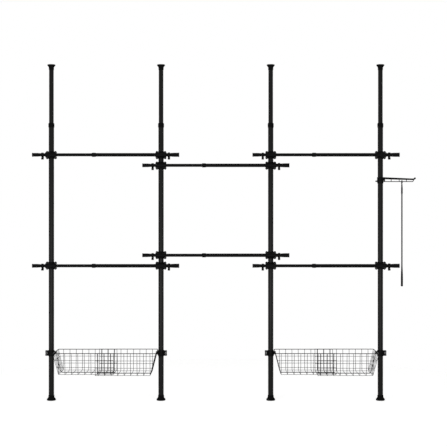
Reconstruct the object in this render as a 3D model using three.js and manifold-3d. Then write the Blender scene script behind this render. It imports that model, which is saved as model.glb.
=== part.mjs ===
// A clothes rack that stands between floor and ceiling: four telescopic poles, six telescopic rods,
// two telescopic wire baskets, and a side rack that carries a hook pole.
// Millimetres, +Z up, front towards -Y. The origin is on the floor, at the middle of the outline.

import * as THREE from "three";
import { mergeVertices } from "three/addons/utils/BufferGeometryUtils.js";
import Module from "manifold-3d";

// Gaps and overruns that all pieces share
const seatGap = 0.3;
const turningGap = 0.3;
const cutOverrun = 2;
const weldDistance = 0.001;

// Poles
const rackHeight = 2400;
const bayWidth = 784;
const lowerTubeRadius = 19;
const lowerTubeWall = 1.2;
const upperTubeRadius = 16.5;
const upperTubeWall = 1;
const upperTubeLength = 1150;
const upperTubeShown = 428;

// Foot under each pole
const footRadius = 32;
const footRimHeight = 10;
const footShoulderHeight = 22;
const footHeight = 38;
const footFloor = 8;
const footWall = 2.2;
const footChamfer = 3;

// Cap that meets the ceiling
const capRadius = 28.5;
const capRimHeight = 6;
const capShoulderHeight = 18;
const capHeight = 38;
const capRoof = 12;
const capWall = 1.6;
const capChamfer = 2;

// Lock collar at the mouth of the lower tube
const lockCollarHeight = 32;
const lockCollarLip = 10;
const lockCollarWall = 1.6;
const lockCollarChamfer = 1.2;

// Guide bush on the lower end of the upper tube
const bushLength = 30;
const bushSpigotLength = 22;
const bushBoreRadius = 8;

// Rods
const rodOverhang = 131;
const outerRodRadius = 12.5;
const innerRodRadius = 11;
const rodWall = 1;
const rodCollarFromPole = 293;
const rodCollarLength = 28;
const rodCollarWall = 2.5;
const rodOverlap = 164;
const endCapLength = 60;
const endCapWall = 2;
const endCapTaper = 24;
const endCapRimLength = 5;
const endCapRimHeight = 1.2;
const endCapPlug = 14;

// Hook ring near each rod's end
const hookFromPole = 58;
const hookWidth = 16;
const hookRingWall = 4.5;
const hookThickness = 5;
const hookBendRadius = 9.5;
const hookDrop = 34;
const hookTipRise = 1;

// Heights of the rods: the middle bay's two rods lie closer together than those of the side bays
const upperRodBelowMouth = 219;
const lowerRodHeight = 963;
const middleBayStagger = 75;

// Clamp that joins a rod to a pole
const clampWidth = 76;
const clampHeight = 58;
const clampChamfer = 6;
const clampLobeFromPole = 27;
const clampNotch = 3;
const clampEarThickness = 18;
const clampPoleWall = 5.5;
const clampRodWall = 4.5;
const clampWeb = 4;

// Baskets
const basketRimHeight = 349;
const basketDepth = 285;
const basketHeight = 156;
const basketSideLean = 16;
const basketEndLean = 40;
const basketEndFromPole = 31;
const basketHalfLength = 430;
const basketRimWire = 5;
const basketRib = 3.8;
const basketWire = 3;
const basketRunner = 5.6;
const basketNestGap = 1;
const basketRibPitch = 46;

// Bracket that holds a basket's end on a pole
const bracketHeight = 42;
const bracketAboveNotch = 13;
const bracketWall = 3.2;
const bracketFlangeReach = 42;
const bracketFlangeHeight = 38;
const bracketFlangeThickness = 18;
const bracketSlot = 2;
const bracketTabWidth = 24;
const bracketTabDrop = 27;
const bracketNotchWidth = 6.4;
const bracketLip = 2.4;
const bracketLipRise = 3;
const bracketLipDrop = 8;
const bracketForkClearance = 0.7;
const bracketEyeFromEnd = 6;
const bracketEyeLength = 8;
const bracketEyeHeight = 4;

// Side rack
const sideRackReach = 254;
const sideClampBelowMouth = 422;
const sideClampHeight = 24;
const sideClampWall = 4.6;
const sideClampFootWall = 2;
const sideScrewHeight = 16.5;
const sideScrewReach = 36;
const sideScrewRadius = 4;
const sideBossReach = 28;
const sideBossRadius = 6;
const sleeveHeight = 21;
const sleeveWall = 4;
const cheekReach = 33;
const cheekThickness = 12;
const cheekGap = 1;
const barRadius = 7.6;
const barTipRadius = 5.9;
const barDrop = 8;
const barTipFromPole = 238;
const barStartBelowSleeveTop = 7.6;
const ballRadius = 7;
const ballRise = 7;
const frameWireRadius = 2.8;
const frameBelowBar = 24;
const frameEndFromPole = 232;
const frameRise = 8;

// Hook pole that hangs on the side rack
const hookPoleFromPole = 154;
const hookPoleLength = 752;
const hookPoleWireRadius = 3.6;
const hookPoleBend = 11.4;
const hookPoleTipDrop = 7;
const ferruleRadius = 6;
const ferruleNeckRadius = 4.2;
const ferruleTaper = 34;
const ferruleLength = 68;
const ferruleBelowWire = 18;
const shaftRadius = 4.8;
const gripRadius = 7.7;
const gripLength = 60;
const gripTaper = 84;
const gripChamfer = 2;

// Counts, shares and facets
const poleCount = 4;
const poleSides = 12;
const bushSides = 12;
const rodSides = 10;
const wireSides = 6;
const ballSides = 8;
const hookSteps = 4;
const hookPoleSteps = 10;
const bulletSteps = 4;
const basketMidWireShares = [1 / 3, 2 / 3];
const basketEndRibShares = [-0.5, 0.5];
const frameUprightShares = [0.22, 0.51, 0.77];

// Places that follow from the sizes
const lastPole = poleCount - 1;
const rackWidth = rodOverhang + lastPole * bayWidth + sideRackReach;
const rodForward = lowerTubeRadius + clampWeb + outerRodRadius;
const lowerTubeTop = rackHeight - upperTubeShown;
const upperRodHeight = lowerTubeTop - upperRodBelowMouth;
const sideClampBottom = lowerTubeTop - sideClampBelowMouth;
const upperTubeTop = rackHeight - capRoof - seatGap;
const upperTubeBottom = upperTubeTop - upperTubeLength;
const poleX = (index) => rodOverhang - rackWidth / 2 + index * bayWidth;

const finishes = {
  pole: { color: 0x1e1e1d, roughness: 0.42, metalness: 0.35 },
  rod: { color: 0x151516, roughness: 0.4, metalness: 0.35 },
  plastic: { color: 0x0b0b0c, roughness: 0.5, metalness: 0 },
  rubber: { color: 0x0d0d0d, roughness: 0.8, metalness: 0 },
  wire: { color: 0x2c2c2d, roughness: 0.45, metalness: 0.4 },
};

const wasm = await Module();
wasm.setup();

// A closed mesh as a solid that can be joined and cut, with its faces turned outwards
function solid(geometry) {
  const bare = geometry.index ? geometry.toNonIndexed() : geometry.clone();
  for (const name of Object.keys(bare.attributes)) {
    if (name !== "position") bare.deleteAttribute(name);
  }
  const merged = mergeVertices(bare, weldDistance);
  const index = merged.index.array;
  const kept = [];
  for (let i = 0; i < index.length; i += 3) {
    const [a, b, c] = [index[i], index[i + 1], index[i + 2]];
    if (a !== b && b !== c && c !== a) kept.push(a, b, c);
  }
  const build = (triangles) =>
    new wasm.Manifold(
      new wasm.Mesh({
        numProp: 3,
        vertProperties: merged.attributes.position.array,
        triVerts: new Uint32Array(triangles),
      }),
    );
  const made = build(kept);
  return made.volume() < 0 ? build(kept.reverse()) : made;
}

const joined = (solids) => solids.reduce((sum, next) => sum.add(next));

// A solid back as a geometry with flat faces
function geometryOf(made) {
  const mesh = made.getMesh();
  const positions = new Float32Array(mesh.numVert * 3);
  for (let i = 0; i < mesh.numVert; i++) {
    positions.set(mesh.vertProperties.subarray(i * mesh.numProp, i * mesh.numProp + 3), i * 3);
  }
  const indexed = new THREE.BufferGeometry();
  indexed.setAttribute("position", new THREE.BufferAttribute(positions, 3));
  indexed.setIndex(new THREE.BufferAttribute(new Uint32Array(mesh.triVerts), 1));
  const flat = indexed.toNonIndexed();
  flat.computeVertexNormals();
  return flat;
}

// The functions below make solids. A profile of [radius, height] points is turned about Z
function turned(profile, sides) {
  const points = profile.map(([radius, height]) => new THREE.Vector2(radius, height));
  return solid(new THREE.LatheGeometry(points, sides).rotateX(Math.PI / 2));
}

const cylinder = (radius, from, to, sides) =>
  turned(
    [
      [0, from],
      [radius, from],
      [radius, to],
      [0, to],
    ],
    sides,
  );

const pipe = (outer, inner, from, to, sides) =>
  turned(
    [
      [inner, from],
      [outer, from],
      [outer, to],
      [inner, to],
      [inner, from],
    ],
    sides,
  );

// A bore with flat sides that is wide enough to turn about a tube with as many flat sides
const turningBore = (radius) => (radius + turningGap) / Math.cos(Math.PI / poleSides);

// Turns a shape made along Z so that it runs along +X
const alongX = (made) => made.rotate([0, 90, 0]);

// A flat outline extruded to both sides of its plane: "xz" faces the front, "yz" faces the side
const planeBases = {
  xz: new THREE.Matrix4().makeBasis(
    new THREE.Vector3(1, 0, 0),
    new THREE.Vector3(0, 0, 1),
    new THREE.Vector3(0, -1, 0),
  ),
  yz: new THREE.Matrix4().makeBasis(
    new THREE.Vector3(0, 1, 0),
    new THREE.Vector3(0, 0, 1),
    new THREE.Vector3(1, 0, 0),
  ),
};

function plate(outline, thickness, plane) {
  const shape = new THREE.Shape(outline.map(([u, v]) => new THREE.Vector2(u, v)));
  const made = new THREE.ExtrudeGeometry(shape, { depth: thickness, bevelEnabled: false });
  return solid(made.translate(0, 0, -thickness / 2).applyMatrix4(planeBases[plane]));
}

// The outline of a strip of even width along a line of points, with mitred corners
function strip(points, width) {
  const place = points.map(([u, v]) => new THREE.Vector2(u, v));
  const sideOf = (from, to) => {
    const way = to.clone().sub(from).normalize();
    return new THREE.Vector2(-way.y, way.x);
  };
  const left = [];
  const right = [];
  place.forEach((point, i) => {
    const before = i > 0 ? sideOf(place[i - 1], point) : sideOf(point, place[i + 1]);
    const after = i < place.length - 1 ? sideOf(point, place[i + 1]) : before;
    const middle = before.clone().add(after).normalize();
    const shift = middle.multiplyScalar(width / 2 / middle.dot(before));
    left.push([point.x + shift.x, point.y + shift.y]);
    right.unshift([point.x - shift.x, point.y - shift.y]);
  });
  return [...left, ...right];
}

// A wire of round section along a line of points in the plane that faces the side
function bentWire(line, radius, sides) {
  const place = line.map(([u, v]) => new THREE.Vector2(u, v));
  const positions = [];
  place.forEach((point, i) => {
    const before = place[Math.max(i - 1, 0)];
    const after = place[Math.min(i + 1, place.length - 1)];
    const way = after.clone().sub(before).normalize();
    for (let k = 0; k < sides; k++) {
      const angle = (2 * Math.PI * k) / sides;
      const out = radius * Math.cos(angle);
      positions.push(radius * Math.sin(angle), point.x - way.y * out, point.y + way.x * out);
    }
  });
  const index = [];
  const last = (place.length - 1) * sides;
  for (let k = 0; k < sides; k++) {
    const next = (k + 1) % sides;
    for (let ring = 0; ring < last; ring += sides) {
      index.push(ring + k, ring + next, ring + sides + k);
      index.push(ring + next, ring + sides + next, ring + sides + k);
    }
    if (k > 1) {
      index.push(0, k, k - 1);
      index.push(last, last + k - 1, last + k);
    }
  }
  const made = new THREE.BufferGeometry();
  made.setAttribute("position", new THREE.Float32BufferAttribute(positions, 3));
  made.setIndex(index);
  return solid(made);
}

// A box between two limits on each axis
function box(x, y, z) {
  const [low, high] = [0, 1].map((i) => new THREE.Vector3(x[i], y[i], z[i]));
  const size = high.clone().sub(low);
  const middle = high.clone().add(low).multiplyScalar(0.5);
  return solid(new THREE.BoxGeometry(size.x, size.y, size.z)).translate(middle.toArray());
}

// A square bar from one point to another, with one side square to the given normal
function bar(from, to, width, normal) {
  const start = new THREE.Vector3(...from);
  const way = new THREE.Vector3(...to).sub(start);
  const length = way.length() + width;
  const along = way.clone().normalize();
  const across = new THREE.Vector3(...normal).cross(along).normalize();
  const up = along.clone().cross(across);
  const middle = start.addScaledVector(way, 0.5);
  const placed = new THREE.Matrix4().makeBasis(along, across, up).setPosition(middle);
  return solid(new THREE.BoxGeometry(length, width, width)).transform(placed.elements);
}

// A round bar or a taper from one point to another
function roundBar(from, to, radius, endRadius, sides) {
  const start = new THREE.Vector3(...from);
  const way = new THREE.Vector3(...to).sub(start);
  const made = solid(new THREE.CylinderGeometry(endRadius, radius, way.length(), sides));
  const upright = new THREE.Vector3(0, 1, 0);
  const turn = new THREE.Quaternion().setFromUnitVectors(upright, way.clone().normalize());
  const placed = new THREE.Matrix4().makeRotationFromQuaternion(turn);
  placed.setPosition(start.addScaledVector(way, 0.5));
  return made.transform(placed.elements);
}

const ball = (place, radius, sides) =>
  solid(new THREE.SphereGeometry(radius, sides, sides / 2)).translate(place);

function namedMesh(name, made, finish) {
  const mesh = new THREE.Mesh(geometryOf(made), new THREE.MeshStandardMaterial(finishes[finish]));
  mesh.name = name;
  return mesh;
}

// One pole: foot, lower tube, lock collar, upper tube with its guide bush, and cap

function lowerTube() {
  const inner = lowerTubeRadius - lowerTubeWall;
  return pipe(lowerTubeRadius, inner, footFloor + seatGap, lowerTubeTop, poleSides);
}

function upperTube() {
  const inner = upperTubeRadius - upperTubeWall;
  return pipe(upperTubeRadius, inner, upperTubeBottom, upperTubeTop, poleSides);
}

function foot() {
  const bore = lowerTubeRadius + seatGap;
  const neck = bore + footWall;
  return turned(
    [
      [0, 0],
      [footRadius - footChamfer, 0],
      [footRadius, footChamfer],
      [footRadius, footRimHeight],
      [neck, footShoulderHeight],
      [neck, footHeight],
      [bore, footHeight],
      [bore, footFloor],
      [0, footFloor],
    ],
    poleSides,
  );
}

function cap() {
  const bore = upperTubeRadius + seatGap;
  const neck = bore + capWall;
  return turned(
    [
      [0, rackHeight - capRoof],
      [bore, rackHeight - capRoof],
      [bore, rackHeight - capHeight],
      [neck, rackHeight - capHeight],
      [neck, rackHeight - capShoulderHeight],
      [capRadius, rackHeight - capRimHeight],
      [capRadius, rackHeight - capChamfer],
      [capRadius - capChamfer, rackHeight],
      [0, rackHeight],
    ],
    poleSides,
  );
}

function lockCollar() {
  const bore = turningBore(lowerTubeRadius);
  const outer = bore + lockCollarWall;
  const neckBore = turningBore(upperTubeRadius);
  const top = lowerTubeTop + lockCollarLip;
  const bottom = top - lockCollarHeight;
  const seat = lowerTubeTop + seatGap;
  return turned(
    [
      [bore, bottom],
      [outer - lockCollarChamfer, bottom],
      [outer, bottom + lockCollarChamfer],
      [outer, top - lockCollarChamfer],
      [outer - lockCollarChamfer, top],
      [neckBore, top],
      [neckBore, seat],
      [bore, seat],
      [bore, bottom],
    ],
    poleSides,
  );
}

function guideBush() {
  const outer = lowerTubeRadius - lowerTubeWall - seatGap;
  const spigot = upperTubeRadius - upperTubeWall - seatGap;
  const shoulder = upperTubeBottom - seatGap;
  return turned(
    [
      [bushBoreRadius, shoulder - bushLength],
      [outer, shoulder - bushLength],
      [outer, shoulder],
      [spigot, shoulder],
      [spigot, shoulder + bushSpigotLength],
      [bushBoreRadius, shoulder + bushSpigotLength],
      [bushBoreRadius, shoulder - bushLength],
    ],
    bushSides,
  );
}

// Rods: each tube starts at the origin with its end cap and runs towards +X

// The hook ring's own solid, about a tube whose axis is X
function hookRing(radius) {
  const ring = alongX(cylinder(radius + hookRingWall, -hookWidth / 2, hookWidth / 2, rodSides));
  const bendHeight = hookThickness / 2 + hookBendRadius - hookDrop;
  const line = [[hookBendRadius, 0]];
  for (let i = 0; i <= hookSteps; i++) {
    const angle = (-Math.PI * i) / hookSteps;
    line.push([
      hookBendRadius * Math.cos(angle),
      bendHeight + hookBendRadius * Math.sin(angle),
    ]);
  }
  line.push([-hookBendRadius, bendHeight + hookTipRise]);
  return ring.add(plate(strip(line, hookThickness), hookWidth, "yz"));
}

function rodTube(radius, length, collarWall) {
  const capOuter = radius + endCapWall;
  const rim = capOuter + endCapRimHeight;
  const profile = [
    [0, 0],
    [rim - endCapRimHeight, 0],
    [rim, endCapRimHeight],
    [rim, endCapRimLength],
    [capOuter, endCapRimLength],
    [capOuter, endCapLength - endCapTaper],
    [radius, endCapLength],
  ];
  if (collarWall > 0) {
    profile.push(
      [radius, length - rodCollarLength],
      [radius + collarWall, length - rodCollarLength],
      [radius + collarWall, length],
    );
  } else {
    profile.push([radius, length]);
  }
  profile.push([0, length]);
  const body = alongX(turned(profile, rodSides));
  const hook = hookRing(radius).translate([rodOverhang - hookFromPole, 0, 0]);
  const bore = cylinder(radius - rodWall, endCapPlug, length + cutOverrun, rodSides);
  return body.add(hook).subtract(alongX(bore));
}

const innerRodLength = rodOverhang + rodCollarFromPole + rodOverlap;
const outerRodLength = bayWidth - rodCollarFromPole + rodOverhang;

const innerRod = () => rodTube(innerRodRadius, innerRodLength, 0);

// The outer tube comes from the other pole, so it is turned end for end
const outerRod = () =>
  rodTube(outerRodRadius, outerRodLength, rodCollarWall).rotate([0, 0, 180]);

// The clamp about a pole at the origin, with its rod in front at the clamp's mid height
function rodClamp(radius) {
  const halfWidth = clampWidth / 2;
  const halfHeight = clampHeight / 2;
  const waist = halfHeight - clampNotch;
  const quarter = [
    [halfWidth, halfHeight - clampChamfer],
    [halfWidth - clampChamfer, halfHeight],
    [clampLobeFromPole, halfHeight],
    [clampLobeFromPole - clampNotch, waist],
  ];
  const top = [...quarter, ...quarter.map(([x, z]) => [-x, z]).reverse()];
  const ears = [...top, ...top.map(([x, z]) => [-x, -z])];
  const saddleRadius = outerRodRadius + seatGap + clampRodWall;
  const saddle = [[0, -saddleRadius]];
  for (let i = 0; i <= bulletSteps; i++) {
    const angle = Math.PI * (1.5 - i / bulletSteps);
    saddle.push([saddleRadius * Math.cos(angle) - rodForward, saddleRadius * Math.sin(angle)]);
  }
  saddle.push([0, saddleRadius]);
  const sleeve = lowerTubeRadius + seatGap + clampPoleWall;
  const outside = joined([
    plate(ears, clampEarThickness, "xz"),
    cylinder(sleeve, -waist, waist, poleSides),
    plate(saddle, clampWidth, "yz"),
  ]);
  const far = halfWidth + cutOverrun;
  const rodBore = alongX(cylinder(radius + seatGap, -far, far, rodSides));
  return outside
    .subtract(poleBore(clampHeight))
    .subtract(rodBore.translate([0, -rodForward, 0]));
}

// What is cut from a piece of the given height, about the origin, to let the pole through
const poleBore = (height, radius = lowerTubeRadius + seatGap) =>
  cylinder(radius, -height / 2 - cutOverrun, height / 2 + cutOverrun, poleSides);

// Baskets

// Half a basket, from its end bar at the origin towards +X, with the rim at height zero
function basketHalf(nest, lift) {
  const halfDepth = (basketDepth - basketRimWire) / 2 - nest;
  const bottom = lift - basketHeight;
  const depthAt = (height) => halfDepth + (basketSideLean * height) / basketHeight;
  const endAt = (height) => (-basketEndLean * height) / basketHeight;
  const freeEnd = basketHalfLength - basketRib / 2;
  const wallNormal = (side) => [0, side * basketHeight, -basketSideLean];
  const endNormal = [-basketHeight, 0, -basketEndLean];
  const parts = [];
  const add = (made) => {
    parts.push(made);
  };

  // The rim goes round the closed end and along both sides
  add(bar([0, -halfDepth, 0], [0, halfDepth, 0], basketRimWire, [0, 0, 1]));
  for (const side of [-1, 1]) {
    const y = side * halfDepth;
    add(bar([0, y, 0], [basketHalfLength - basketRimWire / 2, y, 0], basketRimWire, [0, 0, 1]));
    add(bar([0, y, 0], [endAt(bottom), side * depthAt(bottom), bottom], basketWire, endNormal));
  }

  // The thick runner lies along the middle and climbs the closed end
  const runnerFoot = [endAt(bottom), 0, bottom];
  add(bar([0, 0, 0], runnerFoot, basketRunner, endNormal));
  add(bar(runnerFoot, [freeEnd, 0, bottom], basketRunner, [0, 0, 1]));

  // Wires that run along the basket: two on each side, and two under the sides
  for (const share of basketMidWireShares) {
    const height = share * bottom;
    const [x, y] = [endAt(height), depthAt(height)];
    for (const side of [-1, 1]) {
      add(bar([x, side * y, height], [freeEnd, side * y, height], basketWire, wallNormal(side)));
    }
    add(bar([x, -y, height], [x, y, height], basketWire, endNormal));
  }
  for (const share of [-1, 1]) {
    const y = share * depthAt(bottom);
    add(bar([endAt(bottom), y, bottom], [freeEnd, y, bottom], basketWire, [0, 0, 1]));
  }

  // Ribs that run down one side, across the bottom and up the other
  const spaces = Math.round((freeEnd - endAt(bottom)) / basketRibPitch);
  const line = [
    [-halfDepth, 0],
    [-depthAt(bottom), bottom],
    [depthAt(bottom), bottom],
    [halfDepth, 0],
  ];
  for (let i = 0; i <= spaces; i++) {
    const x = endAt(bottom) + (i * (freeEnd - endAt(bottom))) / spaces;
    add(plate(strip(line, basketRib), basketRib, "yz").translate([x, 0, 0]));
  }
  for (const share of basketEndRibShares) {
    const foot = [endAt(bottom), share * depthAt(bottom), bottom];
    add(bar([0, share * halfDepth, 0], foot, basketRib, endNormal));
  }
  return joined(parts);
}

const mirroredX = (made) => made.mirror([1, 0, 0]);

// The bracket about a pole at the origin, with the basket to its right and the rim at height zero
function basketBracket() {
  const notchFloor = -basketRimWire / 2 - seatGap;
  const ringTop = notchFloor + bracketAboveNotch;
  const middle = ringTop - bracketHeight / 2;
  const inside = lowerTubeRadius + seatGap;
  const outer = inside + bracketWall;
  const notchIn = basketEndFromPole - bracketNotchWidth / 2;
  const notchOut = basketEndFromPole + bracketNotchWidth / 2;
  const lipOut = notchOut + bracketLip;
  const tab = [
    [inside, notchFloor - bracketTabDrop],
    [lipOut, notchFloor - bracketLipDrop],
    [lipOut, notchFloor + bracketLipRise],
    [notchOut, notchFloor + bracketLipRise],
    [notchOut, notchFloor],
    [notchIn, notchFloor],
    [notchIn, notchFloor + bracketLipRise],
    [inside, ringTop - bracketLipRise],
  ];
  const halfFlange = bracketFlangeHeight / 2;
  const thick = bracketFlangeThickness / 2;
  const whole = joined([
    cylinder(outer, -bracketHeight / 2, bracketHeight / 2, poleSides).translate([0, 0, middle]),
    box(
      [-bracketFlangeReach, -inside],
      [-thick, thick],
      [middle - halfFlange, middle + halfFlange],
    ),
    plate(tab, bracketTabWidth, "xz"),
  ]);
  const slot = box(
    [-bracketFlangeReach - cutOverrun, 0],
    [-bracketSlot / 2, bracketSlot / 2],
    [middle - bracketHeight, middle + bracketHeight],
  );
  const fork = basketRunner / 2 + bracketForkClearance;
  const forkSlot = box(
    [notchIn, lipOut + cutOverrun],
    [-fork, fork],
    [notchFloor - bracketTabDrop, notchFloor + bracketLipRise + cutOverrun],
  );
  const eyeStart = bracketEyeFromEnd - bracketFlangeReach;
  const eye = box(
    [eyeStart, eyeStart + bracketEyeLength],
    [-bracketFlangeThickness, bracketFlangeThickness],
    [middle - bracketEyeHeight / 2, middle + bracketEyeHeight / 2],
  );
  return whole
    .subtract(poleBore(bracketHeight + bracketTabDrop).translate([0, 0, middle]))
    .subtract(joined([slot, forkSlot, eye]));
}

// Side rack, about its pole at the origin

function sideClamp() {
  const bore = lowerTubeRadius + seatGap;
  const ring = turned(
    [
      [0, 0],
      [bore + sideClampFootWall, 0],
      [bore + sideClampWall, sideScrewHeight],
      [bore + sideClampWall, sideClampHeight],
      [0, sideClampHeight],
    ],
    poleSides,
  );
  const boss = roundBar(
    [-lowerTubeRadius, 0, sideScrewHeight],
    [-sideBossReach, 0, sideScrewHeight],
    sideBossRadius,
    sideBossRadius,
    ballSides,
  );
  const screw = roundBar(
    [-sideBossReach, 0, sideScrewHeight],
    [-sideScrewReach, 0, sideScrewHeight],
    sideScrewRadius,
    sideScrewRadius,
    ballSides,
  );
  return joined([ring, boss, screw])
    .subtract(poleBore(sideClampHeight + sideClampHeight))
    .translate([0, 0, sideClampBottom]);
}

const sleeveBottom = sideClampBottom + sideClampHeight + seatGap;
const sleeveTop = sleeveBottom + sleeveHeight;
const barStart = sleeveTop - barStartBelowSleeveTop;
const frameHeight = barStart - frameBelowBar;
const barStartFromPole = lowerTubeRadius + sleeveWall;
const barLength = barTipFromPole - barStartFromPole;

// The underside of the bar at a distance from the pole
function barUnderside(x) {
  const share = (x - barStartFromPole) / barLength;
  const radius = barRadius + share * (barTipRadius - barRadius);
  return barStart - share * barDrop - radius;
}

function sideRackBar() {
  const bore = turningBore(lowerTubeRadius);
  const outer = bore + sleeveWall;
  const clampOuter = lowerTubeRadius + seatGap + sideClampWall;
  const half = cheekThickness / 2;
  const cheekBottom = frameHeight - frameWireRadius;
  const tip = [barTipFromPole, 0, barStart - barDrop];
  const ballPlace = [sideRackReach - ballRadius, 0, barStart - barDrop + ballRise];
  const whole = joined([
    cylinder(outer, sleeveBottom, sleeveTop, poleSides),
    box([lowerTubeRadius, cheekReach], [-half, half], [sleeveBottom, sleeveTop]),
    box([clampOuter + cheekGap, cheekReach], [-half, half], [cheekBottom, sleeveTop]),
    roundBar([barStartFromPole, 0, barStart], tip, barRadius, barTipRadius, ballSides),
    roundBar(tip, ballPlace, barTipRadius, barTipRadius, ballSides),
    ball(ballPlace, ballRadius, ballSides),
  ]);
  const middle = (sleeveBottom + sleeveTop) / 2;
  return whole.subtract(poleBore(sleeveHeight + sleeveHeight, bore).translate([0, 0, middle]));
}

function sideRackFrame() {
  const start = cheekReach + seatGap;
  const parts = [
    roundBar(
      [start, 0, frameHeight],
      [frameEndFromPole, 0, frameHeight],
      frameWireRadius,
      frameWireRadius,
      wireSides,
    ),
    ball([frameEndFromPole, 0, frameHeight], frameWireRadius, wireSides),
  ];
  const uprights = frameUprightShares.map((share) => {
    const x = start + share * (frameEndFromPole - start);
    return [x, x];
  });
  uprights.push([frameEndFromPole, Math.min(frameEndFromPole + frameRise, barTipFromPole)]);
  for (const [from, to] of uprights) {
    const slope = (barDrop / barLength) * frameWireRadius;
    const highest = barUnderside(to) - seatGap - slope;
    const lean = (to - from) / (highest - frameHeight);
    const end = [to, 0, highest - lean * frameWireRadius];
    parts.push(roundBar([from, 0, frameHeight], end, frameWireRadius, frameWireRadius, wireSides));
  }
  return joined(parts);
}

// The hook pole hangs from the frame's wire by the hook at its top
function hookPole() {
  const insideTop = frameHeight + frameWireRadius + seatGap;
  const bendCentre = insideTop + hookPoleWireRadius - hookPoleBend;
  const shaftTop = frameHeight - ferruleBelowWire;
  const bottom = insideTop - hookPoleLength;
  const points = [[0, shaftTop - ferruleRadius]];
  const start = -Math.PI / 4;
  for (let i = 0; i <= hookPoleSteps; i++) {
    const angle = start + (Math.PI - start) * (i / hookPoleSteps);
    points.push([hookPoleBend * Math.cos(angle), bendCentre + hookPoleBend * Math.sin(angle)]);
  }
  points.push([-hookPoleBend, bendCentre - hookPoleTipDrop]);
  const parts = [bentWire(points, hookPoleWireRadius, wireSides)];
  const gripTop = bottom + gripLength;
  const ferruleBottom = shaftTop - ferruleLength;
  parts.push(
    turned(
      [
        [0, bottom],
        [gripRadius - gripChamfer, bottom],
        [gripRadius, bottom + gripChamfer],
        [gripRadius, gripTop],
        [shaftRadius, gripTop + gripTaper],
        [shaftRadius, ferruleBottom],
        [ferruleRadius, ferruleBottom],
        [ferruleRadius, shaftTop - ferruleTaper],
        [ferruleNeckRadius, shaftTop],
        [0, shaftTop],
      ],
      ballSides,
    ),
  );
  return joined(parts).translate([hookPoleFromPole, 0, 0]);
}

// The rack, put together

const rack = new THREE.Group();

const shared = {
  foot: foot(),
  lowerTube: lowerTube(),
  lockCollar: lockCollar(),
  upperTube: upperTube(),
  guideBush: guideBush(),
  cap: cap(),
  innerRod: innerRod(),
  outerRod: outerRod(),
  innerClamp: rodClamp(innerRodRadius),
  outerClamp: rodClamp(outerRodRadius),
  innerHalf: basketHalf(basketRimWire + basketNestGap, basketRunner + basketNestGap),
  outerHalf: mirroredX(basketHalf(0, 0)),
  bracket: basketBracket(),
};

for (let i = 0; i < poleCount; i++) {
  const pole = new THREE.Group();
  pole.position.x = poleX(i);
  const number = i + 1;
  pole.add(
    namedMesh(`foot_${number}`, shared.foot, "rubber"),
    namedMesh(`lower_tube_${number}`, shared.lowerTube, "pole"),
    namedMesh(`lock_collar_${number}`, shared.lockCollar, "plastic"),
    namedMesh(`upper_tube_${number}`, shared.upperTube, "pole"),
    namedMesh(`guide_bush_${number}`, shared.guideBush, "plastic"),
    namedMesh(`cap_${number}`, shared.cap, "rubber"),
  );
  rack.add(pole);
}

const bays = [
  { name: "left", stagger: 0, basket: true },
  { name: "middle", stagger: middleBayStagger, basket: false },
  { name: "right", stagger: 0, basket: true },
];

// A rod with its two clamps, from the left pole of its bay at the origin
function rodWithClamps(name) {
  const group = new THREE.Group();
  const inner = namedMesh(`${name}_rod_inner`, shared.innerRod, "rod");
  inner.position.set(-rodOverhang, -rodForward, 0);
  const outer = namedMesh(`${name}_rod_outer`, shared.outerRod, "rod");
  outer.position.set(bayWidth + rodOverhang, -rodForward, 0);
  const leftClamp = namedMesh(`${name}_clamp_left`, shared.innerClamp, "plastic");
  const rightClamp = namedMesh(`${name}_clamp_right`, shared.outerClamp, "plastic");
  rightClamp.position.x = bayWidth;
  group.add(inner, outer, leftClamp, rightClamp);
  return group;
}

// A basket with its two brackets, from the left pole of its bay at the origin
function basketWithBrackets(name) {
  const group = new THREE.Group();
  const inner = namedMesh(`${name}_basket_inner`, shared.innerHalf, "wire");
  inner.position.x = basketEndFromPole;
  const outer = namedMesh(`${name}_basket_outer`, shared.outerHalf, "wire");
  outer.position.x = bayWidth - basketEndFromPole;
  const leftBracket = namedMesh(`${name}_bracket_left`, shared.bracket, "plastic");
  const rightBracket = namedMesh(`${name}_bracket_right`, mirroredX(shared.bracket), "plastic");
  rightBracket.position.x = bayWidth;
  group.add(inner, outer, leftBracket, rightBracket);
  return group;
}

bays.forEach((bay, i) => {
  const group = new THREE.Group();
  group.position.x = poleX(i);
  const heights = { upper: upperRodHeight - bay.stagger, lower: lowerRodHeight + bay.stagger };
  for (const [level, height] of Object.entries(heights)) {
    const rod = rodWithClamps(`${bay.name}_${level}`);
    rod.position.z = height;
    group.add(rod);
  }
  if (bay.basket) {
    const basket = basketWithBrackets(bay.name);
    basket.position.z = basketRimHeight;
    group.add(basket);
  }
  rack.add(group);
});

const side = new THREE.Group();
side.position.x = poleX(lastPole);
side.add(
  namedMesh("side_rack_clamp", sideClamp(), "plastic"),
  namedMesh("side_rack_bar", sideRackBar(), "plastic"),
  namedMesh("side_rack_frame", sideRackFrame(), "wire"),
  namedMesh("hook_pole", hookPole(), "pole"),
);
rack.add(side);

export default rack;
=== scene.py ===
"""A clothes rack that is braced between floor and ceiling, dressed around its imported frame."""

import math

import bmesh
import bpy
from mathutils import Matrix, Vector


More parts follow.
